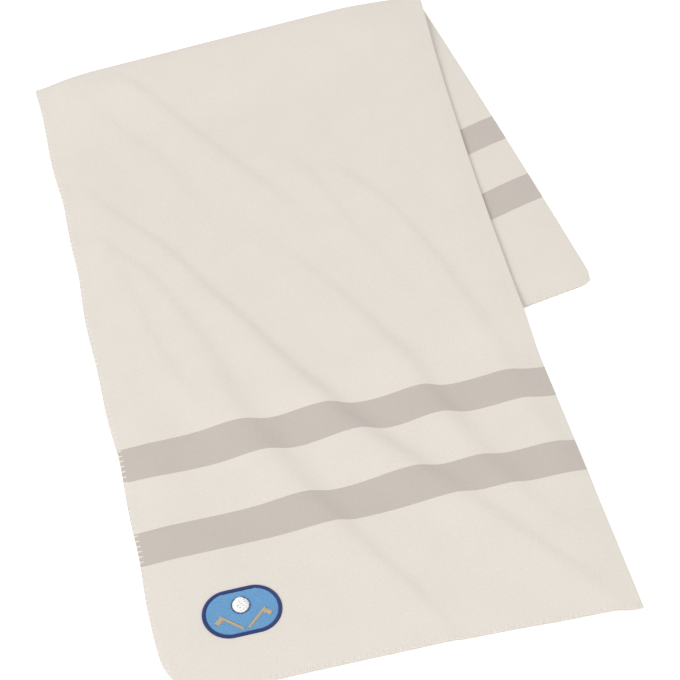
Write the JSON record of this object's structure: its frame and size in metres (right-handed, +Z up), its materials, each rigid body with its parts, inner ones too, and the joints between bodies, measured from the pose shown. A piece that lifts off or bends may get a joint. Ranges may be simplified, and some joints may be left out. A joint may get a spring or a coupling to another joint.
{
  "type": "golf towel",
  "caption": "Ivory cloth golf towel with taupe stripes near each end, folded in half lengthwise and then over crosswise on a slant, with an embroidered emblem.",
  "frame": {"origin": "middle of the towel's box in X and Y, on the surface that it lies on", "axes": "+X across the front, from its open edges to its lengthwise fold; +Y along the front, from its free end to the crosswise crease; +Z up"},
  "size_m": [0.221, 0.362, 0.012],
  "materials": {
    "ivory_cloth": "soft brushed cotton flannel, matt",
    "stripe_cloth": "soft brushed cotton flannel, matt, woven in taupe yarn",
    "edging_thread": "matt overlock thread",
    "backing_felt": "matt tear-away felt",
    "navy_thread": "satin embroidery thread",
    "blue_thread": "satin embroidery thread",
    "tan_thread": "satin embroidery thread",
    "white_thread": "satin embroidery thread",
    "label_tape": "satin woven tape, blank"
  },
  "bodies": {
    "back": {"back_end_border": "ivory_cloth", "back_lower_stripe": "stripe_cloth", "back_stripe_space": "ivory_cloth", "back_upper_stripe": "stripe_cloth", "back_field": "ivory_cloth", "crease_lower_half": "ivory_cloth", "back_edging": "edging_thread", "care_label": "label_tape"},
    "front": {"front_end_border": "ivory_cloth", "front_lower_stripe": "stripe_cloth", "front_stripe_space": "ivory_cloth", "front_upper_stripe": "stripe_cloth", "front_field": "ivory_cloth", "crease_upper_half": "ivory_cloth", "front_edging": "edging_thread", "emblem_backing": "backing_felt", "emblem_border": "navy_thread", "emblem_ground": "blue_thread", "emblem_ball": "white_thread", "emblem_club_left": "tan_thread", "emblem_club_right": "tan_thread"}
  },
  "joints": [
    {"name": "crease_unfold", "type": "hinge", "parent": "back", "child": "front", "pos_m": [-0.01082, 0.17028, 0.006], "axis": [-0.9942, -0.108, 0], "range_deg": [0, 180]}
  ]
}
